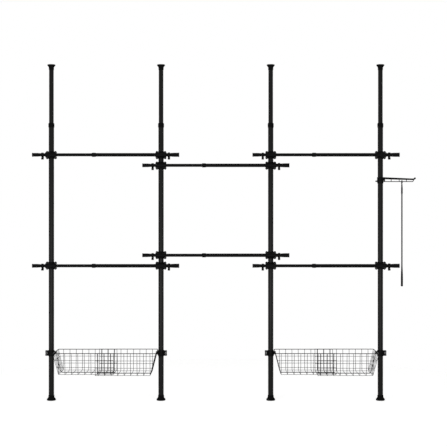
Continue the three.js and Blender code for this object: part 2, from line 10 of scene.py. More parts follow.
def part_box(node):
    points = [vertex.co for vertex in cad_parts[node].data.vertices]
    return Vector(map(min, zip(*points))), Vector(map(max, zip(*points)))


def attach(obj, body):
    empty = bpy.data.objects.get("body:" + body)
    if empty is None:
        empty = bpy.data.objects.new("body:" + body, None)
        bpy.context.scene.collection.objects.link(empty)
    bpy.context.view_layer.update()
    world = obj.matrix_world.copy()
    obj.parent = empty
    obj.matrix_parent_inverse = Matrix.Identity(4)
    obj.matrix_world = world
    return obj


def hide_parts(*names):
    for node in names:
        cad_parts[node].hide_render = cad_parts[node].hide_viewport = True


bl_info = {
    "name": "Floor to ceiling clothes rack",
    "version": (1, 0, 0),
    "blender": (4, 5, 0),
    "location": "3D View > Sidebar > Rack",
    "description": "Makes the surfaces, finishes and studio of a telescopic clothes rack",
    "category": "Object",
}

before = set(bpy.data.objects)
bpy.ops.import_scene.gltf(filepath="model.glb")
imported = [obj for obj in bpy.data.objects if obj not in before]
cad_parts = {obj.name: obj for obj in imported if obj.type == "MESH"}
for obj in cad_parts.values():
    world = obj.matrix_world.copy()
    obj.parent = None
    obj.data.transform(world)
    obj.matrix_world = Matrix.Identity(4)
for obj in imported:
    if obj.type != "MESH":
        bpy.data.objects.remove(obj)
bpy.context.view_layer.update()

# Poles are counted from the left. Each rod and each basket is held by two of them.
POLES = (1, 2, 3, 4)
RODS = (
    ("left_upper", 1, 2),
    ("left_lower", 1, 2),
    ("middle_upper", 2, 3),
    ("middle_lower", 2, 3),
    ("right_upper", 3, 4),
    ("right_lower", 3, 4),
)
BASKETS = (("left", 1, 2), ("right", 3, 4))
# The left pole carries the half that slides inside, the right pole the half around it.
SIDES = (("left", "inner"), ("right", "outer"))

# Facets round a turned piece and round a thick wire, and when an edge stays sharp
ROUND = 64
SMALL_ROUND = 32
THICK_WIRE_SIDES = 16
SMOOTH_ANGLE = math.radians(35)

# The gap between pieces that sit or slide on each other, and the one round a bonded piece
SEAT_GAP = 0.0003
BOND_GAP = 0.00005

# Points nearer than this become one, and a radius under this lies on the axis.
MERGE_DISTANCE = 1e-7
ON_AXIS = 1e-9

# Places of two axes in a corner's coordinates
X, Z = 0, 2

# How a head that was made along Z is turned to look to the front
TO_FRONT = (math.radians(90), 0.0, 0.0)


def low(node):
    """The lowest corner of a CAD node."""
    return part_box(node)[0]


def high(node):
    """The highest corner of a CAD node."""
    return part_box(node)[1]


def ends_of(node):
    """The heights of a CAD node's bottom and top."""
    return low(node).z, high(node).z


def middle_of(node, axis):
    """The middle of a CAD node along an axis."""
    return (low(node)[axis] + high(node)[axis]) / 2


def half_of(node, axis):
    """Half the size of a CAD node along an axis."""
    return (high(node)[axis] - low(node)[axis]) / 2


def pole_x(number):
    """Where a pole's axis stands along the row."""
    return middle_of(f"lower_tube_{number}", X)


# These sizes are measured on the frame once, so that every piece sits where its node does.
LOWER_TUBE_RADIUS = half_of("lower_tube_1", X)
UPPER_TUBE_RADIUS = half_of("upper_tube_1", X)
POLE_BORE = LOWER_TUBE_RADIUS + SEAT_GAP
CLAMP_HALF_WIDTH = half_of("left_upper_clamp_left", X)
CLAMP_HALF_HEIGHT = half_of("left_upper_clamp_left", Z)
INNER_ROD_LENGTH = 2 * half_of("left_upper_rod_inner", X)
OUTER_ROD_LENGTH = 2 * half_of("left_upper_rod_outer", X)

# The rods' axes lie this far in front of the poles' axes.
ROD_FORWARD = 0.0355

# The rim wires' axes lie this far inside the box of a basket.
RIM_INSET = 0.0025
BASKET_HALF_DEPTH = high("left_basket_outer").y - RIM_INSET
BASKET_RIM_HEIGHT = high("left_basket_outer").z - RIM_INSET
BASKET_NEST = high("left_basket_outer").y - high("left_basket_inner").y


# Sizes and colours that a user can change


def size(name, description, default):
    """A length in metres."""
    return bpy.props.FloatProperty(
        name=name, description=description, default=default, unit="LENGTH"
    )


def colour_setting(name, description, default):
    """A colour of linear red, green and blue."""
    return bpy.props.FloatVectorProperty(
        name=name, description=description, default=default, subtype="COLOR", size=3
    )


class RackTubeSizes(bpy.types.PropertyGroup):
    """Poles and rods"""

    pole_wall: size("Pole wall", "Wall of the lower pole tube", 0.0012)
    rod_wall: size("Thin wall", "Wall of the upper pole tube and of the rods", 0.001)
    outer_rod: size("Thick rod radius", "Outside of the thick rod tube", 0.0125)
    inner_rod: size("Thin rod radius", "Outside of the thin rod tube", 0.011)
    cap_length: size("End cap length", "Length of each rod's end cap", 0.06)
    hook_inset: size("Hook ring inset", "From a rod's end to its hook ring", 0.073)
    hook_width: size("Hook ring width", "Width of each hook ring", 0.016)


class RackClampSizes(bpy.types.PropertyGroup):
    """The clamps that hold the rods"""

    parting: size("Parting gap", "Gap between a clamp's two shells", 0.0016)
    ear_thickness: size("Ear thickness", "Both ears of a clamp together", 0.018)
    ear_chamfer: size("Ear chamfer", "Chamfer at the ears' corners", 0.006)
    screw_radius: size("Screw head radius", "Radius of each screw head", 0.0042)
    screw_seed: bpy.props.IntProperty(
        name="Screw turn seed", description="How far each screw happens to be turned", default=7
    )


class RackBasketSizes(bpy.types.PropertyGroup):
    """The wire baskets"""

    rim_radius: size("Rim wire radius", "Radius of the rim wire", 0.0025)
    wire_radius: size("Wire radius", "Radius of the long wires", 0.0014)
    rib_radius: size("Rib radius", "Radius of the ribs", 0.0016)
    runner_radius: size("Runner radius", "Radius of the thick wire along the middle", 0.0028)
    height: size("Height", "From the rim to the bottom wires", 0.156)
    side_lean: size("Side lean", "How far the sides lean in", 0.016)
    end_lean: size("End lean", "How far the ends lean in", 0.04)
    half_length: size("Half length", "Length of each half", 0.43)
    rib_pitch: size("Rib pitch", "From one rib to the next", 0.045857)
    bend_radius: size("Bend radius", "Radius of the wires' bends", 0.009)


class RackSideSizes(bpy.types.PropertyGroup):
    """The side rack and its hook pole"""

    frame_wire: size("Frame wire radius", "Radius of the wire under the bar", 0.0028)
    bar_radius: size("Bar radius", "Radius of the bar at the pole", 0.0075)
    bar_tip: size("Bar tip radius", "Radius of the bar at its tip", 0.0058)
    ball_radius: size("Ball radius", "Radius of the ball on the bar's tip", 0.007)
    hook_wire: size("Hook wire radius", "Radius of the hook pole's hook", 0.0036)
    hook_bend: size("Hook bend", "Radius of the hook's bend", 0.0114)
    shaft_radius: size("Shaft radius", "Radius of the hook pole's shaft", 0.0048)
    ferrule_radius: size("Ferrule radius", "Radius of the hook pole's ferrule", 0.006)
    grip_radius: size("Grip radius", "Radius of the hook pole's grip", 0.0077)


class RackColours(bpy.types.PropertyGroup):
    """The colours of the finishes"""

    pole: colour_setting("Pole coat", "Powder coat of the poles", (0.007, 0.007, 0.0066))
    rod: colour_setting("Rod coat", "Powder coat of the rods", (0.0018, 0.0018, 0.0019))
    plastic: colour_setting("Plastic", "Clamps, collars and brackets", (0.0018, 0.0018, 0.0019))
    rubber: colour_setting("Rubber", "Feet and caps", (0.0025, 0.0025, 0.0025))
    wire: colour_setting("Dipped wire", "Baskets and the side rack's frame", (0.012, 0.012, 0.0124))
    screw: colour_setting("Screws", "Blackened screws and bolts", (0.03, 0.03, 0.032))


class RackStudio(bpy.types.PropertyGroup):
    """The camera, the floor and the lamps"""

    camera_distance: size("Camera distance", "From the poles to the camera", 7.8)
    camera_height: size("Camera height", "Height of the camera", 1.264)
    camera_shift: size("Camera place", "Where the camera stands along the row", -0.007)
    view_width: size("View width", "Width seen at the poles", 3.196)
    key_power: bpy.props.FloatProperty(
        name="Key lamp", description="Power of the strongest lamp", default=175.0, unit="POWER"
    )
    world_light: bpy.props.FloatProperty(
        name="Room light", description="Strength of the light from all round", default=0.12
    )
    floor_radius: size("Floor radius", "Radius of the floor", 2.4)
    floor_glow: bpy.props.FloatProperty(
        name="Floor glow", description="White added to the floor where it is seen", default=0.8
    )
    floor_colour: colour_setting("Floor", "Colour of the pale floor", (0.8, 0.8, 0.79))


# Outlines and solids


def arc(radius, start, turn, steps, centre=(0, 0)):
    """Points along an arc that starts at an angle and runs through a turn."""
    angles = [start + turn * k / steps for k in range(steps + 1)]
    return [(centre[0] + radius * math.cos(a), centre[1] + radius * math.sin(a)) for a in angles]


def filleted(points, closed=True, steps=5):
    """Rounds the corners of an outline whose points give a radius as their third value."""
    rounded = []
    count = len(points)
    for i, point in enumerate(points):
        radius = point[2] if len(point) > 2 else 0
        if radius <= 0 or (not closed and i in (0, count - 1)):
            rounded.append((point[0], point[1]))
            continue
        here = Vector(point[:2])
        back = Vector(points[i - 1][:2]) - here
        ahead = Vector(points[(i + 1) % count][:2]) - here
        half = back.angle(ahead) / 2
        # Two fillets on one side may not meet.
        reach = min(radius / math.tan(half), 0.49 * back.length, 0.49 * ahead.length)
        radius = reach * math.tan(half)
        inward = (back.normalized() + ahead.normalized()).normalized()
        centre = here + inward * radius / math.sin(half)
        first = here + back.normalized() * reach - centre
        last = here + ahead.normalized() * reach - centre
        start = math.atan2(first.y, first.x)
        turn = (math.atan2(last.y, last.x) - start + math.pi) % (2 * math.pi) - math.pi
        rounded += arc(radius, start, turn, steps, centre)
    return rounded


def mesh_of(shape):
    """Turns a bmesh into a mesh whose faces point out."""
    bmesh.ops.remove_doubles(shape, verts=shape.verts, dist=MERGE_DISTANCE)
    bmesh.ops.recalc_face_normals(shape, faces=shape.faces)
    mesh = bpy.data.meshes.new("shape")
    shape.to_mesh(mesh)
    shape.free()
    return mesh


def turned(*profile, steps=ROUND, closed=False):
    """Turns a profile of (radius, height, corner radius) points about Z."""
    shape = bmesh.new()
    turns = [2 * math.pi * k / steps for k in range(steps)]
    rings = []
    for radius, height in filleted(profile, closed):
        if radius < ON_AXIS:
            rings.append([shape.verts.new((0, 0, height))] * steps)
            continue
        circle = [(radius * math.cos(a), radius * math.sin(a), height) for a in turns]
        rings.append([shape.verts.new(point) for point in circle])
    pairs = list(zip(rings, rings[1:]))
    if closed:
        pairs.append((rings[-1], rings[0]))
    for lower, upper in pairs:
        for k in range(steps):
            corners = [lower[k], lower[(k + 1) % steps], upper[(k + 1) % steps], upper[k]]
            corners = [c for i, c in enumerate(corners) if c not in corners[:i]]
            if len(corners) > 2:
                shape.faces.new(corners)
    return mesh_of(shape)


def pipe(outer, inner, bottom, top, edge):
    """A tube about Z with rounded rims."""
    ends = [(inner, bottom, edge), (outer, bottom, edge), (outer, top, edge), (inner, top, edge)]
    return turned(*ends, closed=True)


def drum(radius, bottom, top, edge=0.0, steps=ROUND):
    """A solid cylinder about Z with rounded rims."""
    return turned((0, bottom), (radius, bottom, edge), (radius, top, edge), (0, top), steps=steps)


def rectangle(left, bottom, right, top, corner=0.0):
    """An outline with four equal corners."""
    corners = ((left, bottom), (right, bottom), (right, top), (left, top))
    return [(*point, corner) for point in corners]


def slab(outline, thickness, plane, edge=0.0):
    """Extrudes an outline to both sides of its plane and rounds its rims."""
    shape = bmesh.new()
    flat = filleted(outline)
    bottom = [shape.verts.new((u, v, -thickness / 2)) for u, v in flat]
    top = [shape.verts.new((u, v, thickness / 2)) for u, v in flat]
    count = len(flat)
    faces = [shape.faces.new(list(reversed(bottom))), shape.faces.new(top)]
    for k in range(count):
        shape.faces.new([bottom[k], bottom[(k + 1) % count], top[(k + 1) % count], top[k]])
    if edge > 0:
        rims = [e for f in faces for e in f.edges]
        bmesh.ops.bevel(
            shape,
            geom=rims,
            offset=edge,
            segments=3,
            profile=0.5,
            affect="EDGES",
            clamp_overlap=True,
        )
    mesh = mesh_of(shape)
    turn = {
        "xy": Matrix.Identity(3),
        "xz": Matrix(((1, 0, 0), (0, 0, -1), (0, 1, 0))),
        "yz": Matrix(((0, 0, 1), (1, 0, 0), (0, 1, 0))),
    }[plane]
    mesh.transform(turn.to_4x4())
    return mesh


def ball(radius, place):
    """A ball at a place."""
    profile = arc(radius, -math.pi / 2, math.pi, steps=14)
    return moved(turned(*profile, steps=SMALL_ROUND), *place)


def taper(start, end, first, last):
    """A round bar from one point to another whose radius changes evenly."""
    way = end - start
    bar = turned((0, 0), (first, 0), (last, way.length), (0, way.length), steps=SMALL_ROUND)
    bar.transform(Matrix.Translation(start) @ way.to_track_quat("Z", "Y").to_matrix().to_4x4())
    return bar


def along_x(mesh, backwards=False):
    """Lays a mesh that was made about Z along X, towards -X if backwards."""
    mesh.transform(Matrix.Rotation(math.radians(-90 if backwards else 90), 4, "Y"))
    return mesh


def moved(mesh, x=0.0, y=0.0, z=0.0):
    """Moves a mesh and gives it back."""
    mesh.transform(Matrix.Translation((x, y, z)))
    return mesh


def working_object(mesh):
    """A short-lived object that carries a mesh."""
    thing = bpy.data.objects.new("work", mesh)
    bpy.context.scene.collection.objects.link(thing)
    return thing


def evaluated_mesh(thing):
    """The object's mesh after its modifiers."""
    graph = bpy.context.evaluated_depsgraph_get()
    graph.update()
    return bpy.data.meshes.new_from_object(thing.evaluated_get(graph))


def combined(base, others, operation):
    """Joins or cuts solids: UNION or DIFFERENCE."""
    thing = working_object(base)
    tools = [working_object(other) for other in others]
    for tool in tools:
        change = thing.modifiers.new("Combine", "BOOLEAN")
        change.operation = operation
        change.solver = "EXACT"
        change.object = tool
    result = evaluated_mesh(thing)
    for used in [thing, *tools]:
        bpy.data.objects.remove(used)
    return result


def piece(name, mesh, body, kind, nodes=(), place=(0, 0, 0), mirror=False, slot=None):
    """Makes one named piece at its place, in one finish, and lets it ride on its body."""
    mesh = mesh.copy()
    if mirror:
        mesh.transform(Matrix.Diagonal((-1, 1, 1, 1)))
        mesh.flip_normals()
    mesh.transform(Matrix.Translation(place))
    mesh.name = name
    mesh.materials.clear()
    mesh.materials.append(finish(kind))
    mesh.shade_smooth()
    mesh.set_sharp_from_angle(angle=SMOOTH_ANGLE)
    thing = bpy.data.objects.new(name, mesh)
    bpy.context.scene.collection.objects.link(thing)
    # Screws would take the slot of the plastic piece that they hold, but the slot is not used.
    slot = slot or {"screw": "plastic"}.get(kind, kind)
    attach(thing, body)
    if nodes:
        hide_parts(*nodes)


# Node trees


def feed(tree, target, inputs):
    """Links a node's inputs to sockets and sets the others to values."""
    for label, value in inputs.items():
        if isinstance(value, bpy.types.NodeSocket):
            tree.links.new(value, target.inputs[label])
        else:
            target.inputs[label].default_value = value


def node(tree, kind, *values, **named):
    """Adds a node: capitalised names are inputs, as are values in order, others are settings."""
    made = tree.nodes.new(kind)
    inputs = dict(enumerate(values))
    for name, value in named.items():
        if name[0].isupper():
            inputs[name.replace("_", " ")] = value
        else:
            setattr(made, name, value)
    feed(tree, made, inputs)
    return made.outputs


class Coat:
    """A finish in the making: its shader and what feeds it, on object coordinates."""

    def __init__(self, name):
        self.material = bpy.data.materials.new(name)
        self.material.use_nodes = True
        self.tree = self.material.node_tree
        self.surface = self.tree.nodes["Principled BSDF"]
        self.place = node(self.tree, "ShaderNodeTexCoord")["Object"]
        self.bump = {}

    def feed(self, **inputs):
        """Sets or links the shader's inputs."""
        feed(self.tree, self.surface, {k.replace("_", " "): v for k, v in inputs.items()})

    def noise(self, scale, detail=3.0, roughness=0.5):
        """A noise texture."""
        inputs = {"Vector": self.place, "Scale": scale, "Detail": detail, "Roughness": roughness}
        return node(self.tree, "ShaderNodeTexNoise", **inputs)["Fac"]

    def tint(self, value, colour, change):
        """Gives the colour, a little darker and a little lighter with the value."""
        darker = (*[c * (1 - change) for c in colour], 1)
        lighter = (*[c * (1 + change) for c in colour], 1)
        ends = {"A": darker, "B": lighter}
        mix = node(self.tree, "ShaderNodeMix", data_type="RGBA", Factor=value, **ends)
        self.feed(Base_Color=mix["Result"])

    def roughen(self, value, smoothest, roughest):
        """Lets the roughness follow the middle range of the value."""
        ends = {"From_Min": 0.3, "From_Max": 0.7, "To_Min": smoothest, "To_Max": roughest}
        spread = node(self.tree, "ShaderNodeMapRange", Value=value, **ends)
        self.feed(Roughness=spread["Result"])

    def emboss(self, height, strength, distance):
        """Adds a bump on top of those before it."""
        self.bump.update(Height=height, Strength=strength, Distance=distance)
        self.bump["Normal"] = node(self.tree, "ShaderNodeBump", **self.bump)["Normal"]
        self.feed(Normal=self.bump["Normal"])


# Finishes


def powder_coat(name, colour, roughness, gloss):
    """Baked powder coat: an orange-peel skin with faint dust and rubbed patches."""
    coat = Coat(name)
    patches = coat.noise(9, 4.0, 0.6)
    coat.tint(patches, colour, 0.22)
    coat.roughen(patches, roughness - 0.05, roughness + 0.07)
    coat.emboss(coat.noise(900, 2.0, 0.45), 0.16, 0.0006)
    coat.emboss(coat.noise(2600, 1.0, 0.5), 0.06, 0.0002)
    coat.feed(Specular_IOR_Level=gloss)
    return coat.material


def moulded_plastic(name, colour):
    """Moulded plastic with a fine spark-eroded grain."""
    coat = Coat(name)
    grain = coat.noise(1500, 4.0, 0.6)
    coat.tint(coat.noise(22, 2.0, 0.5), colour, 0.16)
    coat.roughen(grain, 0.36, 0.48)
    coat.emboss(grain, 0.22, 0.0004)
    coat.feed(Specular_IOR_Level=0.035)
    return coat.material


def matt_rubber(name, colour):
    """Matt rubber with a dusty bloom."""
    coat = Coat(name)
    bloom = coat.noise(60, 5.0, 0.65)
    coat.tint(bloom, colour, 0.35)
    coat.roughen(bloom, 0.66, 0.82)
    coat.emboss(coat.noise(2200, 2.0, 0.5), 0.3, 0.0004)
    coat.feed(Specular_IOR_Level=0.05)
    return coat.material


def dipped_wire(name, colour):
    """Steel wire dipped in a plastic coat, which pools a little along its length."""
    coat = Coat(name)
    pools = coat.noise(55, 3.0, 0.55)
    coat.tint(pools, colour, 0.25)
    coat.roughen(pools, 0.34, 0.48)
    coat.emboss(pools, 0.2, 0.0008)
    coat.emboss(coat.noise(700, 2.0, 0.5), 0.12, 0.0003)
    coat.feed(Specular_IOR_Level=0.05)
    return coat.material


def blackened_steel(name, colour):
    """Blackened screws, brighter where a driver has rubbed them."""
    coat = Coat(name)
    rubbed = coat.noise(420, 5.0, 0.65)
    coat.tint(rubbed, colour, 0.5)
    coat.roughen(rubbed, 0.3, 0.5)
    coat.emboss(rubbed, 0.12, 0.0002)
    coat.feed(Metallic=0.8)
    return coat.material


# Each kind of finish: its material's name, its maker and the maker's further values
FINISHES = {
    "pole": ("Pole powder coat", powder_coat, 0.4, 0.08),
    "rod": ("Rod powder coat", powder_coat, 0.4, 0.035),
    "plastic": ("Moulded black plastic", moulded_plastic),
    "rubber": ("Foot rubber", matt_rubber),
    "wire": ("Dipped wire", dipped_wire),
    "screw": ("Blackened screws", blackened_steel),
}


def finish(kind):
    """The finish of one kind, made when it is first asked for."""
    name, maker, *values = FINISHES[kind]
    if name not in bpy.data.materials:
        maker(name, getattr(bpy.context.scene.rack_colours, kind), *values)
    return bpy.data.materials[name]


# Trees that repeat and sweep


def new_tree(name, **inputs):
    """A tree whose inputs are told by their defaults or kinds, and what its inputs give."""
    tree = bpy.data.node_groups.new(name, "GeometryNodeTree")
    for label, default in inputs.items():
        kind = {float: "Float", int: "Int", tuple: "Vector"}.get(type(default), default)
        label = label.replace("_", " ")
        kind = f"NodeSocket{kind}"
        socket = tree.interface.new_socket(name=label, in_out="INPUT", socket_type=kind)
        if not isinstance(default, str):
            socket.default_value = default
    tree.interface.new_socket(name="Geometry", in_out="OUTPUT", socket_type="NodeSocketGeometry")
    return tree, node(tree, "NodeGroupInput")


def close_tree(tree, given, geometry):
    """Ends a tree in real geometry that carries its material."""
    real = node(tree, "GeometryNodeRealizeInstances", Geometry=geometry)["Geometry"]
    coat = given["Material"]
    coated = node(tree, "GeometryNodeSetMaterial", Geometry=real, Material=coat)["Geometry"]
    node(tree, "NodeGroupOutput", Geometry=coated)
    return tree


def wire_tree(name):
    """Sweeps a round wire along every path and repeats the result along a line."""
    tree, given = new_tree(
        name,
        Paths="Geometry",
        Wire_Radius=0.002,
        Bend_Radius=0.008,
        Bend_Steps=5,
        Wire_Sides=12,
        Copies=1,
        Spacing=(0.0, 0.0, 0.0),
        Material="Material",
    )
    curve = node(tree, "GeometryNodeMeshToCurve", Mesh=given["Paths"])
    bend = node(
        tree,
        "GeometryNodeFilletCurve",
        mode="POLY",
        Curve=curve["Curve"],
        Count=given["Bend Steps"],
        Radius=given["Bend Radius"],
        Limit_Radius=True,
    )
    sides, radius = given["Wire Sides"], given["Wire Radius"]
    section = node(tree, "GeometryNodeCurvePrimitiveCircle", Resolution=sides, Radius=radius)
    sweep = node(
        tree,
        "GeometryNodeCurveToMesh",
        Curve=bend["Curve"],
        Profile_Curve=section["Curve"],
        Fill_Caps=True,
    )
    count, step = given["Copies"], given["Spacing"]
    line = node(tree, "GeometryNodeMeshLine", mode="OFFSET", Count=count, Offset=step)
    ends = {"Points": line["Mesh"], "Instance": sweep["Mesh"]}
    copies = node(tree, "GeometryNodeInstanceOnPoints", **ends)
    return close_tree(tree, given, copies["Instances"])


def fastener_tree(name):
    """Sets one fastener on every point, each turned by chance about its own axis."""
    tree, given = new_tree(
        name,
        Points="Geometry",
        Fastener="Object",
        Facing=(0.0, 0.0, 0.0),
        Turn_Seed=7,
        Material="Material",
    )
    fastener = node(tree, "GeometryNodeObjectInfo", Object=given["Fastener"])
    copies = node(
        tree,
        "GeometryNodeInstanceOnPoints",
        Points=given["Points"],
        Instance=fastener["Geometry"],
        Rotation=given["Facing"],
    )
    limits = {"Max": 2 * math.pi, "Seed": given["Turn Seed"]}
    chance = node(tree, "FunctionNodeRandomValue", data_type="FLOAT", **limits)
    turn = node(tree, "ShaderNodeCombineXYZ", Z=chance["Value"])
    spin = node(
        tree,
        "GeometryNodeRotateInstances",
        Instances=copies["Instances"],
        Rotation=turn["Vector"],
        Local_Space=True,
    )
    return close_tree(tree, given, spin["Instances"])


def grown(name, maker, base, **settings):
    """Runs a tree on a base mesh with its inputs set by their identifiers, as a plain mesh."""
    tree = bpy.data.node_groups.get(name) or maker(name)
    thing = working_object(base)
    growth = thing.modifiers.new("Growth", "NODES")
    growth.node_group = tree
    for socket in tree.interface.items_tree:
        label = socket.name.replace(" ", "_")
        if socket.item_type == "SOCKET" and socket.in_out == "INPUT" and label in settings:
            growth[socket.identifier] = settings[label]
    mesh = evaluated_mesh(thing)
    thing.modifiers.remove(growth)
    bpy.data.objects.remove(thing)
    return mesh


def path_mesh(paths):
    """A mesh of bare edges that follows each list of points."""
    mesh = bpy.data.meshes.new("paths")
    corners = [tuple(point) for path in paths for point in path]
    edges = []
    start = 0
    for path in paths:
        edges += [(start + k, start + k + 1) for k in range(len(path) - 1)]
        start += len(path)
    mesh.from_pydata(corners, edges, [])
    return mesh


def wires(paths, radius, bend=0.0, copies=1, spacing=(0, 0, 0), sides=12, kind="wire"):
    """Round wires along paths."""
    return grown(
        "Bent wires",
        wire_tree,
        path_mesh(paths),
        Wire_Radius=radius,
        Bend_Radius=bend,
        Bend_Steps=5,
        Wire_Sides=sides,
        Copies=copies,
        Spacing=spacing,
        Material=finish(kind),
    )


def fasteners(points, fastener, seed):
    """One fastener on each point, with its head to the front."""
    thing = working_object(fastener)
    mesh = grown(
        "Fasteners at points",
        fastener_tree,
        path_mesh([[point] for point in points]),
        Fastener=thing,
        Facing=TO_FRONT,
        Turn_Seed=seed,
        Material=finish("screw"),
    )
    bpy.data.objects.remove(thing)
    return mesh


# Poles. Profiles are lists of (radius, height, corner radius).


def on_each_pole(*parts):
    """Puts pieces, each (name, mesh, end of the body's name, kind), on each of the four poles."""
    for k in POLES:
        for name, mesh, body, kind in parts:
            nodes = [f"{name}_{k}"]
            piece(f"pole_{k}_{name}", mesh, f"pole_{k}_{body}", kind, nodes, (pole_x(k), 0, 0))


class RACK_OT_tubes(bpy.types.Operator):
    """Makes the lower and upper tubes of the four poles and the guide bushes between them"""

    bl_idname = "rack.tubes"
    bl_label = "Pole tubes"

    def execute(self, context):
        sizes = context.scene.rack_tubes
        lower_bore = LOWER_TUBE_RADIUS - sizes.pole_wall
        upper_bore = UPPER_TUBE_RADIUS - sizes.rod_wall
        lower = pipe(LOWER_TUBE_RADIUS, lower_bore, *ends_of("lower_tube_1"), 0.0005)
        upper = pipe(UPPER_TUBE_RADIUS, upper_bore, *ends_of("upper_tube_1"), 0.0004)
        bottom, top = ends_of("guide_bush_1")
        hole = 0.008
        shoulder = low("upper_tube_1").z - SEAT_GAP
        land = lower_bore - SEAT_GAP
        groove = lower_bore - 0.0015
        spigot = upper_bore - SEAT_GAP
        bush = turned(
            (hole, bottom, 0.0005), (land, bottom, 0.001), (land, shoulder - 0.018),
            (groove, shoulder - 0.017), (groove, shoulder - 0.013), (land, shoulder - 0.012),
            (land, shoulder, 0.0005), (spigot, shoulder), (spigot, top, 0.001), (hole, top, 0.0005),
            closed=True,
        )
        on_each_pole(
            ("lower_tube", lower, "base", "pole"),
            ("upper_tube", upper, "top", "pole"),
            ("guide_bush", bush, "top", "plastic"),
        )
        return {"FINISHED"}


class RACK_OT_feet(bpy.types.Operator):
    """Makes the rubber feet on the floor and the caps against the ceiling"""

    bl_idname = "rack.feet"
    bl_label = "Feet and caps"

    def execute(self, context):
        hollow = 0.0004
        rim = half_of("foot_1", X)
        neck = POLE_BORE + 0.0022
        top = high("foot_1").z
        socket = 0.008
        foot = turned(
            (0, hollow), (rim - 0.012, hollow), (rim - 0.011, 0), (rim - 0.003, 0, 0.001),
            (rim, 0.003, 0.002), (rim, 0.0095, 0.0025), (neck + 0.0018, 0.0205, 0.004),
            (neck, 0.026, 0.004), (neck, top, 0.0009), (POLE_BORE, top, 0.0006),
            (POLE_BORE, socket), (0, socket),
        )
        bore = UPPER_TUBE_RADIUS + SEAT_GAP
        neck = bore + 0.0016
        rim = half_of("cap_1", X)
        bottom, top = ends_of("cap_1")
        socket = top - 0.012
        cap = turned(
            (0, socket), (bore, socket), (bore, bottom, 0.0005), (neck, bottom, 0.0008),
            (neck, top - 0.0215, 0.004), (neck + 0.0022, top - 0.0165, 0.004),
            (rim, top - 0.0065, 0.002), (rim, top - 0.0018, 0.0014), (rim - 0.0022, top, 0.0008),
            (rim - 0.009, top), (rim - 0.0095, top - hollow), (0, top - hollow),
        )
        on_each_pole(("foot", foot, "base", "rubber"), ("cap", cap, "top", "rubber"))
        return {"FINISHED"}


class RACK_OT_locks(bpy.types.Operator):
    """Makes the lock collars at the mouths of the lower tubes"""

    bl_idname = "rack.locks"
    bl_label = "Lock collars"

    def execute(self, context):
        bottom, top = ends_of("lock_collar_1")
        outer = half_of("lock_collar_1", X)
        base = outer - 0.0006
        neck = UPPER_TUBE_RADIUS + SEAT_GAP
        mouth = high("lower_tube_1").z + SEAT_GAP
        collar = turned(
            (POLE_BORE, bottom, 0.0004), (base, bottom, 0.0009), (base, bottom + 0.004, 0.0004),
            (outer, bottom + 0.005, 0.0004), (outer, top - 0.006, 0.0012),
            (outer - 0.0022, top, 0.0012), (neck, top, 0.0005), (neck, mouth), (POLE_BORE, mouth),
            closed=True,
        )
        on_each_pole(("lock_collar", collar, "lock", "plastic"))
        return {"FINISHED"}


# Rods


def rod_end_cap(radius, reach):
    """The moulded cap on a rod's end, from the end at the origin along Z."""
    bond = radius + BOND_GAP
    outer = radius + 0.002
    rim = outer + 0.0012
    hollow = 0.0006
    plug_end = 0.0145
    return turned(
        (0, hollow), (radius - 0.003, hollow), (radius - 0.002, 0), (rim, 0, 0.0014),
        (rim, 0.005, 0.0008), (outer, 0.0056, 0.0005), (outer, reach - 0.024, 0.012),
        (radius + 0.0004, reach, 0.0003), (bond, reach), (bond, plug_end), (0, plug_end),
    )


def rod_collar(sizes):
    """The collar at the thick tube's mouth, along Z from the rod's end at the origin."""
    mouth = OUTER_ROD_LENGTH
    step = mouth - 0.022
    rim = mouth - 0.028
    lip = mouth - 0.0025
    bond = sizes.outer_rod + BOND_GAP
    slide = sizes.inner_rod + SEAT_GAP
    outer = sizes.outer_rod + 0.0025
    base = outer - 0.0004
    return turned(
        (bond, rim, 0.0003), (base, rim, 0.001), (base, step - 0.0005, 0.0003),
        (outer, step, 0.0003), (outer, mouth - 0.004, 0.001),
        (sizes.outer_rod + 0.0004, mouth, 0.0008), (slide, mouth, 0.0003), (slide, lip),
        (bond, lip),
        closed=True,
    )


def hook_ring(radius, width):
    """A band round a rod with a hook under it, about X."""
    bond, outer, half = radius + BOND_GAP, radius + 0.0045, width / 2
    band = [
        (bond, -half, 0.0003), (outer, -half, 0.0015), (outer, half, 0.0015), (bond, half, 0.0003)
    ]
    band = along_x(turned(*band, closed=True))
    bend, thickness, drop, rise = 0.0095, 0.005, 0.034, 0.001
    sunk = 0.0004
    inner, outer = bend - thickness / 2, bend + thickness / 2
    level = outer - drop
    inside = arc(inner, 0, -math.pi, steps=14, centre=(0, level))
    outside = arc(outer, 0, -math.pi, steps=14, centre=(0, level))
    outline = [
        (inner, -radius - sunk), *inside[:-1], (-inner, level + rise, 0.0015),
        (-outer, level + rise, 0.0015), *reversed(outside),
        (outer, -math.sqrt(max(radius**2 - outer**2, 0)) - sunk),
    ]
    return combined(band, [slab(outline, width, "yz", 0.0009)], "UNION")


